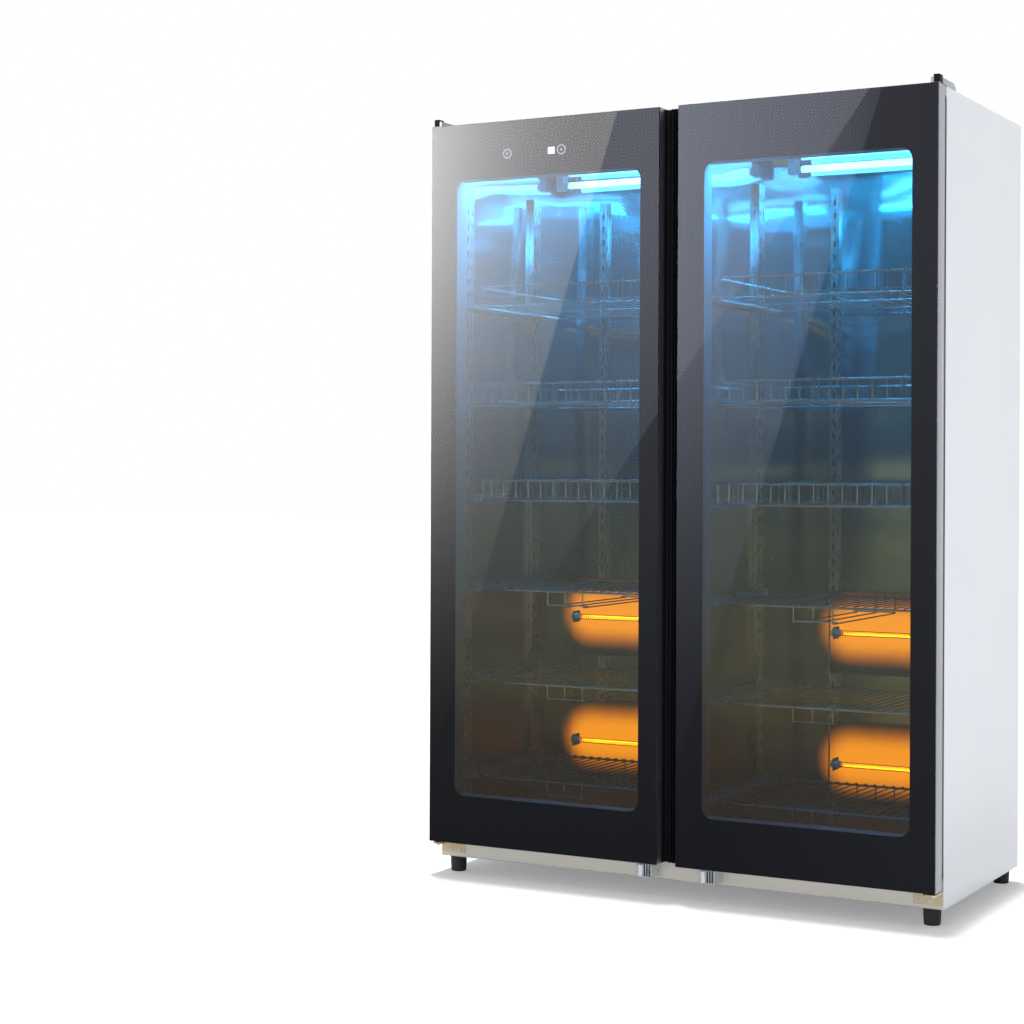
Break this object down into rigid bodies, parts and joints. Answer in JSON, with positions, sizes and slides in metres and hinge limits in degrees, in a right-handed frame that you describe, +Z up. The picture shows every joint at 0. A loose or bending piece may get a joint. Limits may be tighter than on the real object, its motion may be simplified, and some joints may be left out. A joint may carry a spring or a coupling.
{
  "type": "dish sterilizer cabinet",
  "caption": "Tall two-door glass-fronted cabinet that dries and sterilises crockery, with sliding wire racks, ultraviolet lamps and quartz heaters.",
  "frame": {"origin": "on the floor, at the centre of the cabinet's width and depth", "axes": "+Z up, doors face -Y, +X to the right as seen from the front"},
  "size_m": [1.18, 0.6, 1.713],
  "materials": {
    "white_panel": "smooth satin enamel, pale blue-white",
    "cream_rail": "satin, warm silver",
    "galvanised": "dull zinc-coated sheet",
    "polished_steel": "polished, mirror-like",
    "insulation": "mineral wool board",
    "lamp_glass": "clear tube that glows pale blue",
    "white_plastic": "smooth, matt",
    "ballast_case": "thin satin can",
    "board": "green lacquered board with moulded parts",
    "quartz": "clear quartz tube that glows orange",
    "ceramic": "glazed white ceramic",
    "reflector": "bright rolled sheet, warmed by the heater",
    "sensor_steel": "plain bright steel",
    "black_plastic": "fine-grained, matt",
    "grey_zinc": "satin grey",
    "yellow_zinc": "yellow passivated zinc",
    "bright_zinc": "bright zinc plate",
    "magnet": "dark ferrite with steel pole plates",
    "black_rubber": "moulded, matt",
    "white_print": "printed line, lit from behind",
    "display": "lit window in the print",
    "door_glass": "tempered, smoky tint, polished edges",
    "black_print": "black ceramic print, glossy through the glass",
    "frame_aluminium": "fine brushed, anodised",
    "grip_black": "smooth black profile",
    "gasket_rubber": "soft grey magnetic seal",
    "rack_wire": "bright plated wire"
  },
  "bodies": {
    "cabinet": {"back_panel": "galvanised", "base_panel": "galvanised", "bottom_hinge_brackets": "yellow_zinc", "cabinet_screws": "sensor_steel", "cable_gland": "black_plastic", "catch_housings": "bright_zinc", "catch_magnets": "magnet", "centre_post": "cream_rail", "feet": "black_rubber", "front_bottom_rail": "cream_rail", "front_top_rail": "cream_rail", "heater_brackets": "galvanised", "heater_ceramic_ends": "ceramic", "heater_reflectors": "reflector", "heater_tubes": "quartz", "hinge_pins": "sensor_steel", "liner_left": "polished_steel", "liner_right": "polished_steel", "power_board": "board", "rack_posts": "polished_steel", "rack_runners": "polished_steel", "side_panel_left": "white_panel", "side_panel_right": "white_panel", "temperature_sensors": "sensor_steel", "top_hinge_arms": "grey_zinc", "top_hinge_caps": "black_plastic", "top_panel": "white_panel", "uv_ballasts": "ballast_case", "uv_lampholders": "white_plastic", "uv_lamps": "lamp_glass", "wall_insulation": "insulation"},
    "door_left": {"door_left_border": "black_print", "door_left_end_plugs": "black_plastic", "door_left_frame": "frame_aluminium", "door_left_gasket": "gasket_rubber", "door_left_glass": "door_glass", "door_left_grip": "grip_black", "door_left_strike": "bright_zinc", "touch_marks": "white_print", "touch_display": "display", "touch_module": "board"},
    "door_right": {"door_right_border": "black_print", "door_right_end_plugs": "black_plastic", "door_right_frame": "frame_aluminium", "door_right_gasket": "gasket_rubber", "door_right_glass": "door_glass", "door_right_grip": "grip_black", "door_right_strike": "bright_zinc"},
    "bowl_rack_left_1": {"bowl_rack_left_1": "rack_wire"},
    "bowl_rack_left_2": {"bowl_rack_left_2": "rack_wire"},
    "bowl_rack_left_3": {"bowl_rack_left_3": "rack_wire"},
    "bowl_rack_right_1": {"bowl_rack_right_1": "rack_wire"},
    "bowl_rack_right_2": {"bowl_rack_right_2": "rack_wire"},
    "bowl_rack_right_3": {"bowl_rack_right_3": "rack_wire"},
    "plate_shelf_left_4": {"plate_shelf_left_4": "rack_wire"},
    "plate_shelf_left_5": {"plate_shelf_left_5": "rack_wire"},
    "plate_shelf_left_6": {"plate_shelf_left_6": "rack_wire"},
    "plate_shelf_right_4": {"plate_shelf_right_4": "rack_wire"},
    "plate_shelf_right_5": {"plate_shelf_right_5": "rack_wire"},
    "plate_shelf_right_6": {"plate_shelf_right_6": "rack_wire"}
  },
  "joints": [
    {"name": "door_left_hinge", "type": "hinge", "parent": "cabinet", "child": "door_left", "pos_m": [-0.578, -0.28, 0.886], "axis": [0, 0, -1], "range_deg": [0, 110]},
    {"name": "door_right_hinge", "type": "hinge", "parent": "cabinet", "child": "door_right", "pos_m": [0.578, -0.28, 0.886], "axis": [0, 0, 1], "range_deg": [0, 110]},
    {"name": "bowl_rack_left_1_slide", "type": "slide", "parent": "cabinet", "child": "bowl_rack_left_1", "axis": [0, -1, 0], "range_m": [0, 0.201]},
    {"name": "bowl_rack_left_2_slide", "type": "slide", "parent": "cabinet", "child": "bowl_rack_left_2", "axis": [0, -1, 0], "range_m": [0, 0.201]},
    {"name": "bowl_rack_left_3_slide", "type": "slide", "parent": "cabinet", "child": "bowl_rack_left_3", "axis": [0, -1, 0], "range_m": [0, 0.201]},
    {"name": "bowl_rack_right_1_slide", "type": "slide", "parent": "cabinet", "child": "bowl_rack_right_1", "axis": [0, -1, 0], "range_m": [0, 0.201]},
    {"name": "bowl_rack_right_2_slide", "type": "slide", "parent": "cabinet", "child": "bowl_rack_right_2", "axis": [0, -1, 0], "range_m": [0, 0.201]},
    {"name": "bowl_rack_right_3_slide", "type": "slide", "parent": "cabinet", "child": "bowl_rack_right_3", "axis": [0, -1, 0], "range_m": [0, 0.201]},
    {"name": "plate_shelf_left_4_slide", "type": "slide", "parent": "cabinet", "child": "plate_shelf_left_4", "axis": [0, -1, 0], "range_m": [0, 0.201]},
    {"name": "plate_shelf_left_5_slide", "type": "slide", "parent": "cabinet", "child": "plate_shelf_left_5", "axis": [0, -1, 0], "range_m": [0, 0.201]},
    {"name": "plate_shelf_left_6_slide", "type": "slide", "parent": "cabinet", "child": "plate_shelf_left_6", "axis": [0, -1, 0], "range_m": [0, 0.201]},
    {"name": "plate_shelf_right_4_slide", "type": "slide", "parent": "cabinet", "child": "plate_shelf_right_4", "axis": [0, -1, 0], "range_m": [0, 0.201]},
    {"name": "plate_shelf_right_5_slide", "type": "slide", "parent": "cabinet", "child": "plate_shelf_right_5", "axis": [0, -1, 0], "range_m": [0, 0.201]},
    {"name": "plate_shelf_right_6_slide", "type": "slide", "parent": "cabinet", "child": "plate_shelf_right_6", "axis": [0, -1, 0], "range_m": [0, 0.201]}
  ],
  "couplings": [
    {"joint": "bowl_rack_left_1_slide", "follows": "door_left_hinge", "m_per_rad": 0.1042},
    {"joint": "bowl_rack_left_2_slide", "follows": "door_left_hinge", "m_per_rad": 0.1042},
    {"joint": "bowl_rack_left_3_slide", "follows": "door_left_hinge", "m_per_rad": 0.1042},
    {"joint": "bowl_rack_right_1_slide", "follows": "door_right_hinge", "m_per_rad": 0.1042},
    {"joint": "bowl_rack_right_2_slide", "follows": "door_right_hinge", "m_per_rad": 0.1042},
    {"joint": "bowl_rack_right_3_slide", "follows": "door_right_hinge", "m_per_rad": 0.1042},
    {"joint": "plate_shelf_left_4_slide", "follows": "door_left_hinge", "m_per_rad": 0.1042},
    {"joint": "plate_shelf_left_5_slide", "follows": "door_left_hinge", "m_per_rad": 0.1042},
    {"joint": "plate_shelf_left_6_slide", "follows": "door_left_hinge", "m_per_rad": 0.1042},
    {"joint": "plate_shelf_right_4_slide", "follows": "door_right_hinge", "m_per_rad": 0.1042},
    {"joint": "plate_shelf_right_5_slide", "follows": "door_right_hinge", "m_per_rad": 0.1042},
    {"joint": "plate_shelf_right_6_slide", "follows": "door_right_hinge", "m_per_rad": 0.1042}
  ]
}
